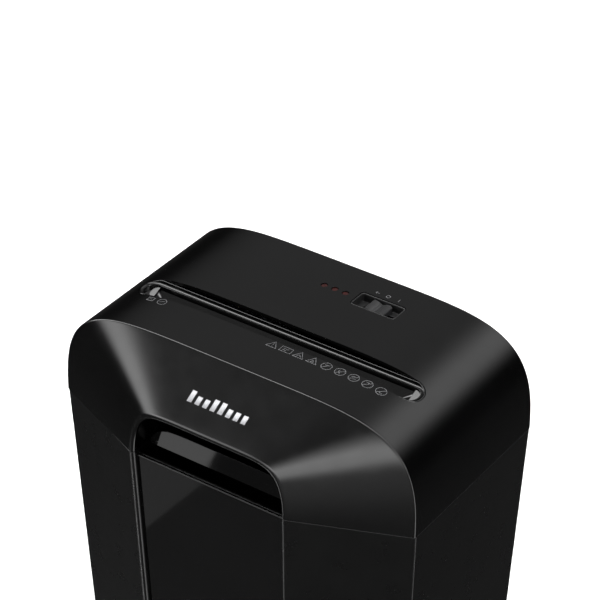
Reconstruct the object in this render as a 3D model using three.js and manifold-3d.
// A paper shredder: an arched cutting head over a cabinet, with a waste bin that pulls out as a drawer.
// Millimetres. +X is the user's right, +Y the back, +Z up. The origin is on the floor, under the middle.
import * as THREE from "three";
import { mergeVertices } from "three/addons/utils/BufferGeometryUtils.js";
import Module from "manifold-3d";

const wasm = await Module();
wasm.setup();

// ---------- Driving sizes ----------

const GAP = 0.3; // between pieces that touch
const WIDTH = 330; // over the sides, at the parting line between head and cabinet
const DEPTH = 205; // from the front face to the back face, at the parting line
const HEIGHT = 385;
const HEAD_HEIGHT = 88.5; // from the parting line to the top
const PROW_DEPTH = 38.5; // how far the front stands out from the plane of the arch
const SIDE_DRAFT = 0.041; // how far each side leans in, per mm downwards
const BACK_DRAFT = 0.038;
const ARCH_LEAN = 2.1; // how far the arch's plane leans back at the top

const COVER_WALL = 3;
const FASCIA_SPREAD = 0.4; // growth of the recess's outline on the fascia's inside, as a share of the wall
const BASE_THICK = 2.2;
const CABINET_WALL = 2.5;
const BIN_WALL = 2;
const BIN_SIDE_GAP = 2; // between the bin and the cabinet's sides
const BIN_BACK_GAP = 16.5; // from the cabinet's back face
const BIN_RIM_DROP = 8; // from the parting line down to the bin's rim

const RECESS_WIDTH = 144.7; // outer edge of the frame round the bin's panel
const RECESS_RISE = 42; // from the parting line up to the top of the hand pocket's mouth
const RECESS_LEAN = 1.9;
const FRAME_EDGE = 2.8; // width of the rounded edge round the recess
const FRAME_CORNER = 0.7;
const POCKET_BACK = 32.5; // from the front face back to the hand pocket's rear wall
const POCKET_CORNER = 12;
const POCKET_WALL = 2.5;
const WELL_DEPTH = 38; // finger well in the bin, below the parting line
const PANEL_SET_BACK = 4.5;
const PANEL_THICK = 2.5;
const PANEL_DROP = 3.9; // from the parting line down to the panel's lip

const SLOT_LENGTH = 263;
const SLOT_WIDTH = 24.8;
const SLOT_BACK_OF_ARCH = 57.1; // from the arch's plane back to the slot's middle
const SLOT_RIM = 1.3;
const PAPER_WIDTH = 226; // throat length
const THROAT = 5;

const DISC_RADIUS = 17;
const DISC_OVERLAP = 5; // how deep the two sets of discs interleave
const DISC_PITCH = 8.1;
const DISC_THICK = 3.6;
const DISC_COUNT = 27;
const CORE_RADIUS = 9;
const JOURNAL_RADIUS = 6;

const DRIVE_MODULE = 1.25;
const DRIVE_TEETH = 45;
const IDLER_SMALL_TEETH = 11;
const IDLER_MODULE = 0.9;
const IDLER_TEETH = 36;
const PINION_TEETH = 12;
const CUTTER_TEETH = 16;
const GEAR_SHAFT = 3; // radius of the idlers' and motor's shafts
const MOTOR_RADIUS = 22;
const MOTOR_LENGTH = 82;

const SWITCH = { x: 44, y: 65.5, length: 41, width: 19, corner: 3, depth: 7, wall: 1.2, knob: 18 };
const LAMP_PITCH = 10;
const LAMP_RADIUS = 2.6;
const ROCKER = { x: 95, above: 30, length: 21, height: 12, border: 3, throw: 19 }; // throw in degrees
const GLAND = { x: 130, above: 14, radius: 8, bore: 3.8 };
const FOOT = { x: 125, front: -42, back: 68, radius: 9, height: 3 };
const RAIL = { x: 110, width: 10, height: 4 };
const SCREW = { head: 4, shank: 1.6, post: 3.8, x: 152.5, front: -45, back: 84 };
const VENT = { count: 9, x: -35, pitch: 9, width: 3.5, low: 20, high: 52 }; // heights above the parting line

// ---------- Places worked out from them ----------

const PARTING = HEIGHT - HEAD_HEIGHT;
const FRONT = -DEPTH / 2;
const BACK = DEPTH / 2;
const ARCH_Y = FRONT + PROW_DEPTH;
const SLOT_Y = ARCH_Y + SLOT_BACK_OF_ARCH;
const ARCH = { half: WIDTH / 2, rise: HEAD_HEIGHT - GAP, side: 5.4, crown: 2.98 };
const RECESS = { half: RECESS_WIDTH / 2, rise: RECESS_RISE, side: 8.1, crown: 1.91 };
const POCKET_HALF = RECESS.half - FRAME_EDGE;
const POCKET_Y = FRONT + POCKET_BACK;
const FACET = PROW_DEPTH / (ARCH.half - RECESS.half); // slope of the prow's two slanting facets, in plan
const BASE_LOW = PARTING + GAP;
const BASE_TOP = BASE_LOW + BASE_THICK;

const CENTRES = 2 * DISC_RADIUS - DISC_OVERLAP;
const CUTTER_MODULE = CENTRES / CUTTER_TEETH;
const DRIVE_TIP = DRIVE_MODULE * (DRIVE_TEETH / 2 + 0.9);
const CUTTER_Z = BASE_TOP + DRIVE_TIP + 2.5;
const REAR = { y: SLOT_Y + CENTRES / 2, z: CUTTER_Z };
const FRONTAL = { y: SLOT_Y - CENTRES / 2, z: CUTTER_Z };
const CUTTER_HALF = (DISC_COUNT * DISC_PITCH) / 2;
const PLATE = 2.5;
const PLATE_X = CUTTER_HALF + 6.5; // inner face of each side frame

const SECOND_REACH = (DRIVE_MODULE * (DRIVE_TEETH + IDLER_SMALL_TEETH)) / 2;
const FIRST_REACH = (IDLER_MODULE * (IDLER_TEETH + PINION_TEETH)) / 2;
const SECOND_ANGLE = THREE.MathUtils.degToRad(15);
const SECOND = polar(REAR, SECOND_REACH, SECOND_ANGLE);
const MOTOR = { y: REAR.y + 66.4, z: CUTTER_Z - 3 };
const FIRST = apex(SECOND, MOTOR, FIRST_REACH);

// Planes of the gears, outwards from the left side frame: [outer face, inner face].
const GEAR_X = -(PLATE_X + PLATE);
const CUTTER_PLANE = [GEAR_X - 8, GEAR_X - 2];
const DRIVE_PLANE = [GEAR_X - 14.5, GEAR_X - 9.5];
const SECOND_PLANE = [GEAR_X - 20, GEAR_X - 16];
const FIRST_PLANE = [GEAR_X - 25.5, GEAR_X - 21.5];
const GEAR_END = GEAR_X - 27;

const THROAT_TOP = CUTTER_Z + DISC_RADIUS + 16;
const ROCKER_Z = PARTING + ROCKER.above;
const FLAG_PIVOT = { y: SLOT_Y + 15, z: THROAT_TOP - 5 };

// ---------- Colours ----------

const paint = (color, roughness, metalness = 0) =>
  new THREE.MeshStandardMaterial({ color, roughness, metalness });
const GLOSS_BLACK = paint(0x161617, 0.18);
const SATIN_BLACK = paint(0x1a1a1b, 0.42);
const PIANO_BLACK = paint(0x0c0c0d, 0.06);
const INNER_BLACK = paint(0x1e1e20, 0.6);
const RUBBER = paint(0x101010, 0.85);
const STEEL = paint(0xa8abb0, 0.35, 1);
const TOOL_STEEL = paint(0x8b8d90, 0.3, 1);
const BRONZE = paint(0xa5793c, 0.4, 1);
const NYLON = paint(0xd9d4c4, 0.5);
const LENS = paint(0x5a2020, 0.15);
const BOARD = paint(0x1f5a38, 0.5);
const GREY = paint(0x55585c, 0.45);
const WHITE = paint(0xd8d8d6, 0.35);

// ---------- Points and outlines ----------

function polar(from, reach, angle) {
  return { y: from.y + reach * Math.cos(angle), z: from.z + reach * Math.sin(angle) };
}

// The lower of the two points that lie at one distance from both a and b.
function apex(a, b, reach) {
  const dy = b.y - a.y;
  const dz = b.z - a.z;
  const span = Math.hypot(dy, dz);
  const drop = Math.sqrt(reach ** 2 - (span / 2) ** 2);
  return { y: (a.y + b.y) / 2 + (drop * dz) / span, z: (a.z + b.z) / 2 - (drop * dy) / span };
}

function polygon(points) {
  return new THREE.Shape(points.map(([u, v]) => new THREE.Vector2(u, v)));
}

function rectangle(u0, u1, v0, v1) {
  return polygon([[u0, v0], [u1, v0], [u1, v1], [u0, v1]]);
}

function circle(u, v, radius, sides) {
  const corner = (i) => (2 * Math.PI * i) / sides;
  const at = (_, i) => [u + radius * Math.cos(corner(i)), v + radius * Math.sin(corner(i))];
  return polygon(Array.from({ length: sides }, at));
}

// A rectangle with rounded corners, given by its middle, its full sizes and the corners' radius.
function roundedRectangle(u, v, length, width, radius, steps = 4) {
  const points = [];
  const quarters = [[1, 1], [-1, 1], [-1, -1], [1, -1]];
  quarters.forEach(([su, sv], quarter) => {
    for (let i = 0; i <= steps; i++) {
      const angle = (Math.PI / 2) * (quarter + i / steps);
      points.push([
        u + su * (length / 2 - radius) + radius * Math.cos(angle),
        v + sv * (width / 2 - radius) + radius * Math.sin(angle),
      ]);
    }
  });
  return polygon(points);
}

// |x / half|^side + (z / rise)^crown = 1 over a straight base, from right to left.
function archOutline({ half, rise, side, crown }, base, inset = 0, steps = 26) {
  const points = [];
  for (let i = 0; i <= steps; i++) {
    const u = (Math.PI * i) / steps;
    const across = Math.sign(Math.cos(u)) * Math.abs(Math.cos(u)) ** (2 / side);
    const up = Math.abs(Math.sin(u)) ** (2 / crown);
    points.push([(half - inset) * across, base + (rise - inset) * up]);
  }
  return polygon(points);
}

// A gear's outline with trapezoid teeth, one of them centred on the angle tooth.
function gearOutline(centre, teeth, module, tooth) {
  const root = module * (teeth / 2 - 1.2);
  const tip = module * (teeth / 2 + 0.9);
  const pitch = (2 * Math.PI) / teeth;
  const corners = [[root, -0.3], [tip, -0.1], [tip, 0.1], [root, 0.3]];
  const points = [];
  for (let i = 0; i < teeth; i++)
    for (const [radius, share] of corners) {
      const angle = tooth + pitch * (i + share);
      points.push([centre.y + radius * Math.cos(angle), centre.z + radius * Math.sin(angle)]);
    }
  return polygon(points);
}

// ---------- Solids ----------

function solid(geometry) {
  const bare = geometry.clone();
  bare.deleteAttribute("normal");
  bare.deleteAttribute("uv");
  const merged = mergeVertices(bare, 1e-4);
  const vertProperties = new Float32Array(merged.attributes.position.array);
  const triVerts = new Uint32Array(merged.index.array);
  return new wasm.Manifold(new wasm.Mesh({ numProp: 3, vertProperties, triVerts }));
}

function geometryOf(piece) {
  const mesh = piece.getMesh();
  const positions = new THREE.BufferAttribute(new Float32Array(mesh.vertProperties), 3);
  const geometry = new THREE.BufferGeometry().setAttribute("position", positions);
  return geometry.setIndex(new THREE.BufferAttribute(new Uint32Array(mesh.triVerts), 1));
}

function extruded(shape, depth) {
  return new THREE.ExtrudeGeometry(shape, { depth, bevelEnabled: false, curveSegments: 6 });
}

const axes = (u, v, w) => new THREE.Matrix4().makeBasis(u, v, w);
const X = new THREE.Vector3(1, 0, 0);
const Y = new THREE.Vector3(0, 1, 0);
const Z = new THREE.Vector3(0, 0, 1);

// An outline in X and Y, pulled up from low to high.
function alongZ(shape, low, high) {
  return solid(extruded(shape, high - low).translate(0, 0, low));
}

// An outline in Y and Z, pulled from left to right.
function alongX(shape, left, right) {
  const geometry = extruded(shape, right - left).applyMatrix4(axes(Y, Z, X));
  return solid(geometry.translate(left, 0, 0));
}

// An outline in X and Z, pulled from front to back.
function alongY(shape, front, back) {
  const geometry = extruded(shape, back - front).applyMatrix4(axes(X, Z, Y.clone().negate()));
  return solid(geometry.translate(0, back, 0));
}

function block(x0, x1, y0, y1, z0, z1) {
  return alongZ(rectangle(x0, x1, y0, y1), z0, z1);
}

function rodX(centre, radius, left, right, sides = 10) {
  return alongX(circle(centre.y, centre.z, radius, sides), left, right);
}

function joined(pieces) {
  return pieces.reduce((whole, piece) => whole.add(piece));
}

// The same solid with each corner moved by a rule.
function moved(piece, rule) {
  const geometry = geometryOf(piece);
  const position = geometry.attributes.position;
  const point = new THREE.Vector3();
  for (let i = 0; i < position.count; i++) {
    point.fromBufferAttribute(position, i);
    rule(point);
    position.setXYZ(i, point.x, point.y, point.z);
  }
  return solid(geometry);
}

// Below the parting line the cabinet and bin narrow evenly. The prow shrinks towards a line well behind
// it, so its slanting facets stay flat; behind the arch's plane the shift runs evenly to the back's.
const SHRINK = SIDE_DRAFT / (WIDTH / 2);
const SHRINK_Y = 40;
function drafted(piece) {
  const frontShift = SHRINK * (SHRINK_Y - ARCH_Y);
  return moved(piece, (p) => {
    const down = Math.max(0, PARTING - p.z);
    const share = (p.y - ARCH_Y) / (BACK - ARCH_Y);
    const ahead = SHRINK * (SHRINK_Y - p.y);
    const shift = p.y < ARCH_Y ? ahead : frontShift + share * (-BACK_DRAFT - frontShift);
    p.x *= 1 - SHRINK * down;
    p.y += shift * down;
  });
}

// In the head, the arch's front edge leans back a little.
const archLean = (z) => (ARCH_LEAN * (z - PARTING)) / HEAD_HEIGHT;
function leaned(piece) {
  return moved(piece, (p) => {
    p.y += (archLean(p.z) * (BACK - p.y)) / (BACK - ARCH_Y);
  });
}

// ---------- The scene ----------

const shredder = new THREE.Group();
shredder.name = "paper_shredder";

function group(name) {
  const made = new THREE.Group();
  made.name = name;
  shredder.add(made);
  return made;
}

function add(parent, name, piece, material) {
  const mesh = new THREE.Mesh(geometryOf(piece), material);
  mesh.name = name;
  parent.add(mesh);
}

const cabinet = group("cabinet");
const head = group("head");
const cutting = group("cutting_unit");
const drive = group("drive");
const controls = group("controls");
const bin = group("bin");

// ---------- Cabinet ----------

function cabinetShell() {
  const half = WIDTH / 2;
  const low = FOOT.height + GAP;
  const high = PARTING - GAP;
  const front = ARCH_Y + GAP;
  const outer = block(-half, half, front, BACK, low, high);
  const inside = CABINET_WALL;
  const room = block(-half + inside, half - inside, front - 1, BACK - inside, low + inside, high + 1);
  return drafted(outer.subtract(room));
}

function foot(x, y) {
  const bottom = 0.85 * FOOT.radius;
  const profile = [[0, 0], [bottom, 0], [FOOT.radius, FOOT.height], [0, FOOT.height]];
  const points = profile.map(([r, h]) => new THREE.Vector2(r, h));
  const turned = new THREE.LatheGeometry(points, 14).rotateX(Math.PI / 2);
  return solid(turned.translate(x, y, 0));
}

function rail(side) {
  const low = FOOT.height + GAP + CABINET_WALL + GAP;
  const x = side * RAIL.x;
  const half = RAIL.width / 2;
  return block(x - half, x + half, ARCH_Y + 12, BACK - 20, low, low + RAIL.height);
}

add(cabinet, "cabinet_shell", cabinetShell(), SATIN_BLACK);
for (const [side, x] of [["left", -FOOT.x], ["right", FOOT.x]]) {
  add(cabinet, `foot_front_${side}`, foot(x, FOOT.front), RUBBER);
  add(cabinet, `foot_rear_${side}`, foot(x, FOOT.back), RUBBER);
  add(cabinet, `bin_rail_${side}`, rail(Math.sign(x)), NYLON);
}

// ---------- Bin ----------

const RAIL_TOP = FOOT.height + CABINET_WALL + RAIL.height + 2 * GAP;
const BIN_HALF = WIDTH / 2 - CABINET_WALL - BIN_SIDE_GAP;
const BIN_BACK = BACK - BIN_BACK_GAP;

function binBucket() {
  const low = RAIL_TOP + GAP;
  const high = PARTING - BIN_RIM_DROP;
  const front = ARCH_Y + 2;
  const outer = block(-BIN_HALF, BIN_HALF, front, BIN_BACK, low, high);
  const inner = BIN_HALF - BIN_WALL;
  const room = block(-inner, inner, front + BIN_WALL, BIN_BACK - BIN_WALL, low + BIN_WALL, high + 1);
  return drafted(outer.subtract(room));
}

function pocketPlan(half, back, radius) {
  const front = FRONT - 10;
  return roundedRectangle(0, (front + back) / 2, 2 * half, back - front, radius, 3);
}

// The moulding in front of the bin: two slanting facets, the frame round the panel and the finger well.
function binFrontFrame() {
  const low = RAIL_TOP - 4;
  const high = PARTING - GAP;
  const half = WIDTH / 2;
  const wall = POCKET_WALL;
  const edge = FRAME_CORNER;
  const backPlate = FRONT + PANEL_SET_BACK + PANEL_THICK + GAP;
  const outline = polygon([
    [-half, ARCH_Y - GAP], [-RECESS.half, FRONT + edge], [-RECESS.half + edge, FRONT],
    [RECESS.half - edge, FRONT], [RECESS.half, FRONT + edge], [half, ARCH_Y - GAP],
  ]);
  const inner = half - wall / FACET - wall;
  const rim = POCKET_HALF + wall;
  const nose = ARCH_Y - FACET * (inner - rim);
  const behind = backPlate + wall;
  const hollow = polygon([
    [-inner, ARCH_Y], [-rim, nose], [-rim, behind], [rim, behind], [rim, nose], [inner, ARCH_Y],
  ]);
  const shell = alongZ(outline, low, high).subtract(alongZ(hollow, low + wall, high - wall));
  const bay = block(-POCKET_HALF, POCKET_HALF, FRONT - 1, backPlate, low - 1, high + 1);
  const floor = high - WELL_DEPTH;
  const cup = alongZ(pocketPlan(rim, POCKET_Y + wall, POCKET_CORNER + wall), floor - wall, high)
    .intersect(block(-half, half, backPlate, ARCH_Y, low, high));
  const well = alongZ(pocketPlan(POCKET_HALF, POCKET_Y, POCKET_CORNER), floor, high + 1)
    .subtract(block(-half, half, FRONT - 20, behind, low, high - PANEL_DROP + GAP));
  return drafted(shell.subtract(bay).add(cup).subtract(well));
}

function binFrontPanel() {
  const half = POCKET_HALF - GAP;
  const front = FRONT + PANEL_SET_BACK;
  return drafted(block(-half, half, front, front + PANEL_THICK, RAIL_TOP + 1, PARTING - PANEL_DROP));
}

add(bin, "bin_bucket", binBucket(), INNER_BLACK);
add(bin, "bin_front_frame", binFrontFrame(), SATIN_BLACK);
add(bin, "bin_front_panel", binFrontPanel(), PIANO_BLACK);

// ---------- Head: cover, fascia, base and funnel ----------

const SLOT_CORNER = SLOT_WIDTH / 2 - 1;
function slotOutline(grow) {
  return roundedRectangle(0, SLOT_Y, SLOT_LENGTH + 2 * grow, SLOT_WIDTH + 2 * grow, SLOT_CORNER + grow, 5);
}

function dishOutline(grow) {
  const { x, y, length, width, corner } = SWITCH;
  return roundedRectangle(x, y, length + 2 * grow, width + 2 * grow, corner + grow, 3);
}

const lampX = (i) => SWITCH.x - SWITCH.length / 2 - 5 - LAMP_PITCH * (i + 0.5);
const archSolid = (inset, front, back) => leaned(alongY(archOutline(ARCH, BASE_LOW, inset), front, back));

function bezelOutline(grow) {
  const [length, height] = [ROCKER.length + 2 * ROCKER.border, ROCKER.height + 2 * ROCKER.border];
  return roundedRectangle(ROCKER.x, ROCKER_Z, length + 2 * grow, height + 2 * grow, 2, 2);
}

function screwBoss(side, y) {
  const x = side * SCREW.x;
  const post = alongZ(circle(x, y, SCREW.post, 10), BASE_TOP + GAP, BASE_TOP + 18);
  const reach = side * (WIDTH / 2 - 1.5);
  const web = block(Math.min(x, reach), Math.max(x, reach), y - 1, y + 1, BASE_TOP + GAP, BASE_TOP + 14);
  return post.add(web);
}

function headCover() {
  const front = ARCH_Y + GAP;
  const bosses = [-1, 1].flatMap((side) => [screwBoss(side, SCREW.front), screwBoss(side, SCREW.back)]);
  const shell = archSolid(0, front, BACK)
    .subtract(archSolid(COVER_WALL, front - 5, BACK - COVER_WALL))
    .subtract(block(-WIDTH, WIDTH, front - 5, BACK - COVER_WALL, BASE_LOW - 1, BASE_LOW + 0.01));
  const roof = HEIGHT - 30;
  const through = (outline) => alongZ(outline, roof, HEIGHT + 5);
  const lamps = [0, 1, 2].map((i) => through(circle(lampX(i), SWITCH.y, LAMP_RADIUS + GAP, 10)));
  return joined([shell, ...bosses])
    .subtract(screwHoles(BASE_LOW, BASE_TOP + 12))
    .subtract(joined([through(slotOutline(GAP)), through(dishOutline(GAP)), ...lamps]))
    .subtract(rearOpenings());
}

function screwHoles(low, high) {
  const places = [-1, 1].flatMap((side) => [[side * SCREW.x, SCREW.front], [side * SCREW.x, SCREW.back]]);
  return joined(places.map(([x, y]) => alongZ(circle(x, y, SCREW.shank + GAP, 8), low, high)));
}

// Through the cover's back wall: vents by the motor, the rocker's cut-out and the gland's hole.
function rearOpenings() {
  const through = (outline) => alongY(outline, BACK - 10, BACK + 5);
  const openings = [through(bezelOutline(GAP))];
  openings.push(through(circle(GLAND.x, PARTING + GLAND.above, GLAND.radius + GAP, 14)));
  for (let i = 0; i < VENT.count; i++) {
    const left = VENT.x - VENT.pitch * i - VENT.width / 2;
    openings.push(through(rectangle(left, left + VENT.width, PARTING + VENT.low, PARTING + VENT.high)));
  }
  return joined(openings);
}

// The fascia's inner surface: a smaller arch at the back, and a slightly larger recess in front.
function fasciaInside() {
  const spread = COVER_WALL * FASCIA_SPREAD;
  return {
    back: ARCH_Y - GAP + 0.1,
    backHalf: ARCH.half - COVER_WALL,
    front: FRONT + COVER_WALL + 1,
    frontHalf: RECESS.half + spread,
  };
}

// A solid between the arch at the back and the recess's outline at the front, both drawn inwards by inset.
function prowSolid(inset, back, front) {
  const start = { ...ARCH, half: ARCH.half - inset, rise: ARCH.rise - inset };
  const spread = inset * FASCIA_SPREAD;
  const end = { ...RECESS, half: RECESS.half + spread, rise: RECESS.rise + spread };
  const shape = archOutline(start, BASE_LOW);
  return moved(alongY(shape, 0, 1), (p) => {
    const across = Math.min(1, Math.abs(p.x) / start.half);
    const up = THREE.MathUtils.clamp((p.z - BASE_LOW) / start.rise, 0, 1);
    const x = Math.sign(p.x) * end.half * across ** (start.side / end.side);
    const z = BASE_LOW + end.rise * up ** (start.crown / end.crown);
    const share = 1 - p.y;
    const lean = share ? (RECESS_LEAN * (z - BASE_LOW)) / end.rise : archLean(p.z);
    p.set(share ? x : p.x, (share ? front : back) + lean, share ? z : p.z);
  });
}

function pocketVoid(grow) {
  const outline = { ...RECESS, half: POCKET_HALF + grow, rise: RECESS.rise - FRAME_EDGE + grow };
  const mouth = alongY(archOutline(outline, BASE_LOW, 0, 16), FRONT - 5, ARCH_Y + 5);
  const plan = pocketPlan(POCKET_HALF + grow, POCKET_Y + grow, POCKET_CORNER + grow);
  return mouth.intersect(alongZ(plan, BASE_LOW - 1, HEIGHT));
}

function frontFascia() {
  const back = ARCH_Y - GAP;
  const outer = prowSolid(0, back, FRONT);
  const inside = fasciaInside();
  const inner = prowSolid(COVER_WALL, inside.back, inside.front);
  const below = block(-WIDTH, WIDTH, FRONT - 1, back + 1, BASE_LOW - 1, BASE_LOW);
  const pocket = pocketVoid(POCKET_WALL).intersect(outer);
  return outer.subtract(inner).add(pocket).subtract(pocketVoid(0)).subtract(below);
}

function headBase() {
  const inset = COVER_WALL + GAP + 0.4;
  const half = WIDTH / 2 - inset;
  const noseHalf = POCKET_HALF + POCKET_WALL + 4;
  const wall = fasciaInside();
  const slope = (wall.front - wall.back) / (wall.frontHalf - wall.backHalf);
  const noseY = wall.back + slope * (noseHalf - wall.backHalf) + 2 * GAP;
  const plan = polygon([
    [-half, ARCH_Y + 2], [-noseHalf, noseY], [noseHalf, noseY], [half, ARCH_Y + 2],
    [half, BACK - inset], [-half, BACK - inset],
  ]);
  const pocket = pocketPlan(POCKET_HALF + POCKET_WALL + GAP, POCKET_Y + POCKET_WALL + GAP, POCKET_CORNER);
  const chute = rectangle(
    -PAPER_WIDTH / 2, PAPER_WIDTH / 2, FRONTAL.y - DISC_RADIUS - 4, REAR.y + DISC_RADIUS + 4);
  return alongZ(plan, BASE_LOW, BASE_TOP)
    .subtract(alongZ(pocket, BASE_LOW - 1, BASE_TOP + 1))
    .subtract(alongZ(chute, BASE_LOW - 1, BASE_TOP + 1))
    .subtract(screwHoles(BASE_LOW - 1, BASE_TOP + 1));
}

// Straight-sided below the rim, then sloping to the throat.
function entryFunnel() {
  const wellLow = HEIGHT - 13.5;
  const throatHigh = wellLow - 5;
  const mouth = slotOutline(-SLOT_RIM);
  const halfLong = SLOT_LENGTH / 2 - SLOT_RIM;
  const halfWide = SLOT_WIDTH / 2 - SLOT_RIM;
  const slopes = moved(alongZ(mouth, throatHigh, wellLow + 0.05), (p) => {
    const lower = p.z < (throatHigh + wellLow) / 2;
    p.x *= lower ? PAPER_WIDTH / 2 / halfLong : 1;
    p.y = SLOT_Y + (p.y - SLOT_Y) * (lower ? THROAT / 2 / halfWide : 1);
  });
  const gate = rectangle(-PAPER_WIDTH / 2, PAPER_WIDTH / 2, SLOT_Y - THROAT / 2, SLOT_Y + THROAT / 2);
  const slit = alongZ(gate, THROAT_TOP, throatHigh + 0.05);
  return alongZ(slotOutline(0), THROAT_TOP + GAP, HEIGHT + 5)
    .intersect(archSolid(0, ARCH_Y, BACK))
    .subtract(alongZ(mouth, wellLow, HEIGHT + 5))
    .subtract(slopes)
    .subtract(slit);
}

// A bent plate beside the paper's path, with a foot that turns away from it.
function throatGuide(side, notch) {
  const face = SLOT_Y + (side * THROAT) / 2;
  const low = CUTTER_Z + DISC_RADIUS + 1;
  const plate = [face, face + side * 1.5];
  const flange = [face, face + side * 8];
  const span = ([a, b], z0, z1) =>
    block(-PAPER_WIDTH / 2, PAPER_WIDTH / 2, Math.min(a, b), Math.max(a, b), z0, z1);
  const guide = span(plate, low, THROAT_TOP).add(span(flange, THROAT_TOP - 1.5, THROAT_TOP));
  return notch ? guide.subtract(block(-4, 4, face - 1, face + 20, low - 1, THROAT_TOP - 1.6)) : guide;
}

add(head, "head_cover", headCover(), GLOSS_BLACK);
add(head, "front_fascia", frontFascia(), GLOSS_BLACK);
add(head, "head_base", headBase(), INNER_BLACK);
add(head, "entry_funnel", entryFunnel(), GLOSS_BLACK);
add(head, "throat_guide_front", throatGuide(-1, false), INNER_BLACK);
add(head, "throat_guide_rear", throatGuide(1, true), INNER_BLACK);

function caseScrew(side, y) {
  const x = side * SCREW.x;
  const pan = alongZ(circle(x, y, SCREW.head, 10), PARTING - 2, PARTING);
  return pan.add(alongZ(circle(x, y, SCREW.shank, 8), PARTING - 1, BASE_TOP + 10));
}

for (const [side, sign] of [["left", -1], ["right", 1]]) {
  add(head, `case_screw_front_${side}`, caseScrew(sign, SCREW.front), STEEL);
  add(head, `case_screw_rear_${side}`, caseScrew(sign, SCREW.back), STEEL);
}

// ---------- Cutting unit ----------

const RODS = [
  { y: FRONTAL.y - DISC_RADIUS - 7, z: CUTTER_Z - 19 },
  { y: FRONTAL.y - DISC_RADIUS - 4, z: CUTTER_Z + 19 },
  { y: REAR.y + DISC_RADIUS + 7, z: CUTTER_Z - 19 },
];
const BUSH_RADIUS = JOURNAL_RADIUS + 3;

// A shaft with cutting discs; the discs start at one end and repeat by the pitch.
function cutter(centre, firstDisc, leftEnd, rightEnd) {
  const profile = [[0, leftEnd], [JOURNAL_RADIUS, leftEnd], [JOURNAL_RADIUS, -CUTTER_HALF - 3]];
  profile.push([CORE_RADIUS, -CUTTER_HALF - 3]);
  for (let i = 0; i < DISC_COUNT; i++) {
    const left = -CUTTER_HALF + firstDisc + DISC_PITCH * i;
    profile.push([CORE_RADIUS, left], [DISC_RADIUS, left]);
    profile.push([DISC_RADIUS, left + DISC_THICK], [CORE_RADIUS, left + DISC_THICK]);
  }
  profile.push([CORE_RADIUS, CUTTER_HALF + 3], [JOURNAL_RADIUS, CUTTER_HALF + 3]);
  profile.push([JOURNAL_RADIUS, rightEnd], [0, rightEnd]);
  const points = profile.map(([radius, along]) => new THREE.Vector2(radius, along));
  const turned = new THREE.LatheGeometry(points, 8).applyMatrix4(axes(Y, X, Z.clone().negate()));
  return solid(turned.translate(0, centre.y, centre.z));
}

// A bar with a finger in each space between one cutter's discs.
function comb(centre, side, firstDisc) {
  const far = centre.y + side * (DISC_RADIUS + 5);
  const near = centre.y + side * (DISC_RADIUS + 2);
  const tip = centre.y + side * (CORE_RADIUS + 1);
  const span = (a, b) => [Math.min(a, b), Math.max(a, b)];
  const [barFront, barBack] = span(near, far);
  const [fingerFront, fingerBack] = span(tip, near + side);
  const pieces = [block(-CUTTER_HALF, CUTTER_HALF, barFront, barBack, CUTTER_Z - 5, CUTTER_Z + 5)];
  for (let i = 0; i < DISC_COUNT - 1; i++) {
    const x = -CUTTER_HALF + firstDisc + DISC_PITCH * i + (DISC_PITCH + DISC_THICK) / 2;
    pieces.push(block(x - 1.4, x + 1.4, fingerFront, fingerBack, CUTTER_Z - 3, CUTTER_Z + 3));
  }
  return joined(pieces);
}

function sideFrame(left, right, back, extraHoles) {
  const front = FRONTAL.y - DISC_RADIUS - 12;
  const low = BASE_TOP + GAP;
  const high = CUTTER_Z + DISC_RADIUS + 9;
  const cut = 6; // of the upper rear corner
  const outline = polygon([[front, low], [back, low], [back, high - cut], [back - cut, high], [front, high]]);
  const hole = ({ centre, radius, sides }) => rodX(centre, radius + GAP, left - 1, right + 1, sides);
  const seats = [REAR, FRONTAL].map((centre) => ({ centre, radius: BUSH_RADIUS, sides: 12 }));
  return alongX(outline, left, right).subtract(joined([...seats, ...extraHoles].map(hole)));
}

function bush(centre, side) {
  const inner = side * (PLATE_X - 2.5);
  const outer = side * (PLATE_X + PLATE + 0.5);
  const [left, right] = [Math.min(inner, outer), Math.max(inner, outer)];
  const bore = rodX(centre, JOURNAL_RADIUS + 0.35, left - 1, right + 1, 12);
  return rodX(centre, BUSH_RADIUS, left, right, 12).subtract(bore);
}

const FRONT_START = (DISC_PITCH / 2 - DISC_THICK) / 2;
const REAR_START = FRONT_START + DISC_PITCH / 2;
const SHAFT_RIGHT = PLATE_X + PLATE + 2;
const frontCutter = cutter(FRONTAL, FRONT_START, CUTTER_PLANE[0] - 0.5, SHAFT_RIGHT);
const rearCutter = cutter(REAR, REAR_START, DRIVE_PLANE[0] - 0.5, SHAFT_RIGHT);
const gearHoles = [FIRST, SECOND, MOTOR].map((centre) => ({ centre, radius: GEAR_SHAFT, sides: 10 }));
const leftFrame = sideFrame(GEAR_X, -PLATE_X, MOTOR.y + MOTOR_RADIUS - 1, gearHoles);
const rightFrame = sideFrame(PLATE_X, PLATE_X + PLATE, REAR.y + DISC_RADIUS + 14, []);
add(cutting, "cutter_front", frontCutter, TOOL_STEEL);
add(cutting, "cutter_rear", rearCutter, TOOL_STEEL);
add(cutting, "stripper_comb_front", comb(FRONTAL, -1, FRONT_START), INNER_BLACK);
add(cutting, "stripper_comb_rear", comb(REAR, 1, REAR_START), INNER_BLACK);
add(cutting, "side_frame_left", leftFrame, STEEL);
add(cutting, "side_frame_right", rightFrame, STEEL);
RODS.forEach((centre, i) => {
  add(cutting, `tie_rod_${i + 1}`, rodX(centre, 3.5, -PLATE_X + GAP, PLATE_X - GAP, 8), STEEL);
});
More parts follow.
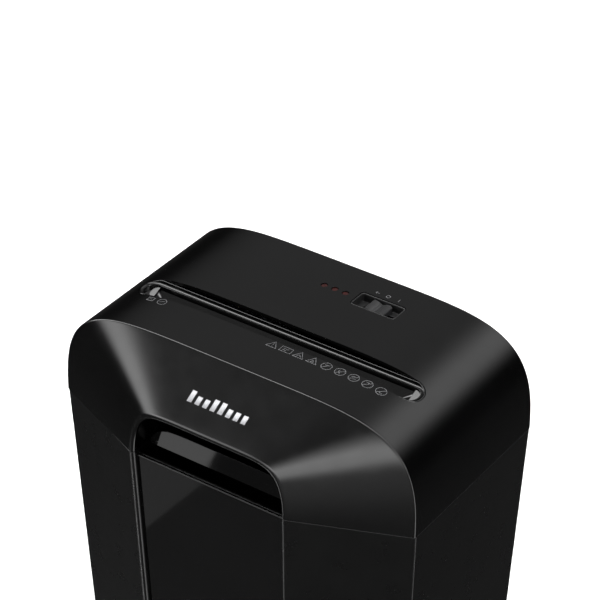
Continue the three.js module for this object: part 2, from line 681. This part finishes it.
for (const [side, sign] of [["left", -1], ["right", 1]]) {
  add(cutting, `bush_front_${side}`, bush(FRONTAL, sign), BRONZE);
  add(cutting, `bush_rear_${side}`, bush(REAR, sign), BRONZE);
}

// ---------- Drive ----------

// The radius of a twelve-sided hole that a round shaft just fits.
const boreFor = (shaft) => (shaft + 0.05) / Math.cos(Math.PI / 12);

const facing = (from, to) => Math.atan2(to.z - from.z, to.y - from.y);
const gap = (from, to, teeth) => facing(from, to) + Math.PI / teeth; // a space, not a tooth, faces to

function gear(centre, teeth, module, tooth, [left, right]) {
  return alongX(gearOutline(centre, teeth, module, tooth), left, right);
}

// A gear that fits on a cutter's journal.
function journalGear(centre, teeth, module, tooth, plane) {
  const bore = rodX(centre, boreFor(JOURNAL_RADIUS), plane[0] - 1, plane[1] + 1, 12);
  return gear(centre, teeth, module, tooth, plane).subtract(bore);
}

// A large and a small gear on one shaft.
function idler(centre, large, small) {
  const hubLeft = Math.min(large.plane[1], small.plane[1]) - 1;
  const hubRight = Math.max(large.plane[0], small.plane[0]) + 1;
  return joined([
    gear(centre, large.teeth, large.module, large.tooth, large.plane),
    gear(centre, small.teeth, small.module, small.tooth, small.plane),
    rodX(centre, GEAR_SHAFT + 1.5, hubLeft, hubRight, 8),
    rodX(centre, GEAR_SHAFT, GEAR_END, GEAR_X + PLATE - 0.4, 8),
  ]);
}

const wheel = { teeth: IDLER_TEETH, module: IDLER_MODULE };
const pinion = { teeth: PINION_TEETH, module: IDLER_MODULE };
const smallDrive = { teeth: IDLER_SMALL_TEETH, module: DRIVE_MODULE };
const secondIdler = idler(
  SECOND,
  { ...wheel, tooth: facing(SECOND, FIRST), plane: SECOND_PLANE },
  { ...smallDrive, tooth: gap(SECOND, REAR, IDLER_SMALL_TEETH), plane: DRIVE_PLANE },
);
const firstIdler = idler(
  FIRST,
  { ...wheel, tooth: facing(FIRST, MOTOR), plane: FIRST_PLANE },
  { ...pinion, tooth: gap(FIRST, SECOND, PINION_TEETH), plane: SECOND_PLANE },
);
const rearTooth = facing(REAR, FRONTAL);
const frontTooth = gap(FRONTAL, REAR, CUTTER_TEETH);
const rearGear = journalGear(REAR, CUTTER_TEETH, CUTTER_MODULE, rearTooth, CUTTER_PLANE);
const frontGear = journalGear(FRONTAL, CUTTER_TEETH, CUTTER_MODULE, frontTooth, CUTTER_PLANE);
const driveGear = journalGear(REAR, DRIVE_TEETH, DRIVE_MODULE, facing(REAR, SECOND), DRIVE_PLANE);
add(drive, "cutter_gear_rear", rearGear, STEEL);
add(drive, "cutter_gear_front", frontGear, STEEL);
add(drive, "drive_gear", driveGear, STEEL);
add(drive, "idler_gear_second", secondIdler, NYLON);
add(drive, "idler_gear_first", firstIdler, NYLON);

const MOTOR_RIGHT = -PLATE_X + 2 + MOTOR_LENGTH;
const CAN_WALL = 1.5;

function motorRotor() {
  return joined([
    gear(MOTOR, PINION_TEETH, IDLER_MODULE, gap(MOTOR, FIRST, PINION_TEETH), FIRST_PLANE),
    rodX(MOTOR, GEAR_SHAFT, FIRST_PLANE[0] - 1, MOTOR_RIGHT + 16, 8),
    rodX(MOTOR, MOTOR_RADIUS * 0.55, -PLATE_X + 18, MOTOR_RIGHT - 22, 12),
  ]);
}

function motorCan() {
  const left = -PLATE_X + GAP;
  const can = rodX(MOTOR, MOTOR_RADIUS, left, MOTOR_RIGHT, 20);
  const room = rodX(MOTOR, MOTOR_RADIUS - CAN_WALL, left + CAN_WALL, MOTOR_RIGHT + 1, 20);
  return can.subtract(room).subtract(rodX(MOTOR, GEAR_SHAFT + 1, left - 1, left + 5, 10));
}

function motorEndCap() {
  const cap = rodX(MOTOR, MOTOR_RADIUS, MOTOR_RIGHT + GAP, MOTOR_RIGHT + 3, 20);
  return cap.subtract(rodX(MOTOR, GEAR_SHAFT + 1, MOTOR_RIGHT - 1, MOTOR_RIGHT + 5, 10));
}

function coolingFan() {
  const left = MOTOR_RIGHT + 7;
  const right = left + 7;
  const blades = [rodX(MOTOR, 7, left, right, 12)];
  for (let i = 0; i < 6; i++) {
    const blade = new THREE.BoxGeometry(7, 13, 1.2).translate(0, 12, 0).rotateX((i * Math.PI) / 3);
    blades.push(solid(blade.translate((left + right) / 2, MOTOR.y, MOTOR.z)));
  }
  return joined(blades).subtract(rodX(MOTOR, boreFor(GEAR_SHAFT), left - 1, right + 1, 12));
}

// A shallow tray over the gears, open towards the side frame.
function gearCover() {
  const right = GEAR_X - GAP;
  const low = BASE_TOP + GAP;
  const left = GEAR_END - 2.5;
  const high = CUTTER_Z + DRIVE_TIP + 3;
  const front = FRONTAL.y - CENTRES / 2 - 5;
  const back = MOTOR.y + MOTOR_RADIUS;
  const outline = (inset, open) =>
    polygon([
      [left + inset, low + inset], [right + open, low + inset], [right + open, high - inset],
      [left + 11, high - inset], [left + inset, high - 11],
    ]);
  return alongY(outline(0, 0), front, back).subtract(alongY(outline(1.5, 1), front + 1.5, back - 1.5));
}

function thermalCutout() {
  const top = MOTOR.z + MOTOR_RADIUS;
  return block(MOTOR_RIGHT - 40, MOTOR_RIGHT - 26, MOTOR.y - 4, MOTOR.y + 4, top + GAP, top + 5);
}

add(drive, "motor_rotor", motorRotor(), STEEL);
add(drive, "motor_can", motorCan(), STEEL);
add(drive, "motor_end_cap", motorEndCap(), INNER_BLACK);
add(drive, "cooling_fan", coolingFan(), INNER_BLACK);
add(drive, "gear_cover", gearCover(), INNER_BLACK);
add(drive, "thermal_cutout", thermalCutout(), INNER_BLACK);

// ---------- Controls ----------

const DECK = HEIGHT - GAP; // flush with the flat top of the cover
const KNOB_TRAVEL = (SWITCH.length - SWITCH.knob) / 2 - SWITCH.wall - GAP; // to each side
const STEM = { half: 3, reach: 5 };

function switchDish() {
  const { x, y, wall } = SWITCH;
  const floor = DECK - SWITCH.depth;
  const reach = KNOB_TRAVEL + STEM.half + 1;
  const slit = block(x - reach, x + reach, y - 2, y + 2, floor - 5, floor + 1);
  return alongZ(dishOutline(0), floor - wall, DECK)
    .subtract(alongZ(dishOutline(-wall), floor, DECK + 1))
    .subtract(slit);
}

function modeKnob() {
  const low = DECK - SWITCH.depth + GAP;
  const { x, y } = SWITCH;
  const half = SWITCH.knob / 2;
  const depth = SWITCH.width / 2 - SWITCH.wall - 1.3;
  const profile = [[x - half, low], [x + half, low], [x + half, DECK - 2.5], [x + half - 1.5, DECK - 1]];
  profile.push([x + 4, DECK - 1], [x, DECK - 2.6], [x - 4, DECK - 1], [x - half + 1.5, DECK - 1]);
  profile.push([x - half, DECK - 2.5]);
  const cap = alongY(polygon(profile), y - depth, y + depth);
  return cap.add(block(x - STEM.half, x + STEM.half, y - 1.5, y + 1.5, low - STEM.reach, low + 1));
}

function modeSwitchBody() {
  const top = DECK - SWITCH.depth - STEM.reach - 0.5;
  const { x, y } = SWITCH;
  return block(x - 20, x + 20, y - 7, y + 7, top - 9, top);
}

function lampLens(i) {
  return alongZ(circle(lampX(i), SWITCH.y, LAMP_RADIUS, 10), DECK - 6, DECK);
}

const ROCKER_Y = BACK - 5;

function rockerBezel() {
  const halfLong = ROCKER.length / 2 + GAP;
  const halfHigh = ROCKER.height / 2 + GAP;
  const { x } = ROCKER;
  const opening = rectangle(x - halfLong, x + halfLong, ROCKER_Z - halfHigh, ROCKER_Z + halfHigh);
  return alongY(bezelOutline(0), BACK - 14, BACK - 2).subtract(alongY(opening, BACK - 12, BACK));
}

// Two faces that meet in a shallow valley, between ends that curve about the pivot. At rest it is tipped
// by half its throw, so its left half stands out.
function mainsRocker() {
  const { x, length, height } = ROCKER;
  const tilt = THREE.MathUtils.degToRad(ROCKER.throw / 2);
  const inner = THREE.MathUtils.degToRad(-28);
  const outer = THREE.MathUtils.degToRad(15);
  const points = [];
  const arc = [inner, (inner + outer) / 2, outer];
  for (const end of arc) points.push([Math.cos(end), Math.sin(end)]);
  points.push([0, 0.12]);
  for (const end of [...arc].reverse()) points.push([-Math.cos(end), Math.sin(end)]);
  const turned = points.map(([u, v]) => [
    x + (length / 2) * (u * Math.cos(tilt) + v * Math.sin(tilt)),
    ROCKER_Y + (length / 2) * (v * Math.cos(tilt) - u * Math.sin(tilt)),
  ]);
  return alongZ(polygon(turned), ROCKER_Z - height / 2 + 0.2, ROCKER_Z + height / 2 - 0.2);
}

function cordGland() {
  const z = PARTING + GLAND.above;
  const ring = (radius, sides, front, back) => alongY(circle(GLAND.x, z, radius, sides), front, back);
  return ring(GLAND.radius, 14, BACK - 10, BACK - 0.5).subtract(ring(GLAND.bore, 12, BACK - 11, BACK + 1));
}

const BOARD_TOP = BASE_TOP + 5.6;
const BOARD_AREA = { left: 20, right: 120, front: REAR.y + DISC_RADIUS + 18, back: BACK - 16 };

const CAPACITOR = { y: BOARD_AREA.back - 12, z: BOARD_TOP + 12, radius: 10.5, length: 40 };

function controlBoard() {
  const { left, right, front, back } = BOARD_AREA;
  const posts = [[left + 6, front + 5], [right - 6, front + 5], [left + 6, back - 5], [right - 6, back - 5]];
  const legs = posts.map(([x, y]) => alongZ(circle(x, y, 2.5, 8), BASE_TOP + GAP, BOARD_TOP - 1));
  const relayBack = CAPACITOR.y - CAPACITOR.radius - 2.4;
  const relay = block(left + 36, left + 55, front + 4, relayBack, BOARD_TOP - 0.5, BOARD_TOP + 14);
  const terminals = block(right - 16, right - 6, front + 14, back - 10, BOARD_TOP - 0.5, BOARD_TOP + 9);
  return joined([block(left, right, front, back, BOARD_TOP - 1.6, BOARD_TOP), ...legs, relay, terminals]);
}

function transformer() {
  const { left, front } = BOARD_AREA;
  const low = BOARD_TOP + GAP;
  const core = block(left + 6, left + 32, front + 6, front + 24, low, low + 18);
  return core.add(block(left + 10, left + 28, front + 2, front + 28, low + 2, low + 16));
}

function runCapacitor() {
  const left = BOARD_AREA.left + 38;
  return rodX(CAPACITOR, CAPACITOR.radius, left, left + CAPACITOR.length, 14);
}

const PLUNGER = { x: -60, z: PARTING - 18, half: 2.1 };
const SWITCH_FACE = BIN_BACK + 3;

// It hangs on the cabinet's back wall; its plunger is pushed in by the back of the bin.
function interlockSwitch() {
  const { x, z } = PLUNGER;
  const room = PLUNGER.half + GAP;
  const box = block(x - 12, x + 12, SWITCH_FACE, BACK - CABINET_WALL - 1.2, z - 10, z + 9);
  return box.subtract(block(x - room, x + room, SWITCH_FACE - 1, SWITCH_FACE + 8, z - room, z + room));
}

function interlockPlunger() {
  const { x, z, half } = PLUNGER;
  return block(x - half, x + half, BIN_BACK + GAP, SWITCH_FACE + 7, z - half, z + half);
}

function paperSensor() {
  const { y, z } = FLAG_PIVOT;
  return block(6, 20, y - 4, y + 6, z - 8, z + 2);
}

// A lever whose tip crosses the paper's path through the notch in the rear guide.
function sensorFlag() {
  const { y, z } = FLAG_PIVOT;
  const tip = SLOT_Y - 1.5;
  const lower = [[tip, z - 4.5], [tip + 2, z - 6], [y + 1, z - 1.6]];
  const upper = [[y + 1, z + 1.2], [y - 2, z + 1.2]];
  const arm = alongX(polygon([...lower, ...upper]), -1.5, 1.5);
  return arm.add(rodX(FLAG_PIVOT, 2, -8, 5, 8));
}

add(controls, "switch_dish", switchDish(), INNER_BLACK);
add(controls, "mode_knob", modeKnob(), GREY);
add(controls, "mode_switch_body", modeSwitchBody(), INNER_BLACK);
for (let i = 0; i < 3; i++) add(controls, `lamp_lens_${i + 1}`, lampLens(i), LENS);
add(controls, "rocker_bezel", rockerBezel(), INNER_BLACK);
add(controls, "mains_rocker", mainsRocker(), GLOSS_BLACK);
add(controls, "cord_gland", cordGland(), INNER_BLACK);
add(controls, "control_board", controlBoard(), BOARD);
add(controls, "transformer", transformer(), GREY);
add(controls, "run_capacitor", runCapacitor(), WHITE);
add(controls, "interlock_switch", interlockSwitch(), INNER_BLACK);
add(controls, "interlock_plunger", interlockPlunger(), WHITE);
add(controls, "paper_sensor", paperSensor(), INNER_BLACK);
add(controls, "sensor_flag", sensorFlag(), WHITE);

export default shredder;
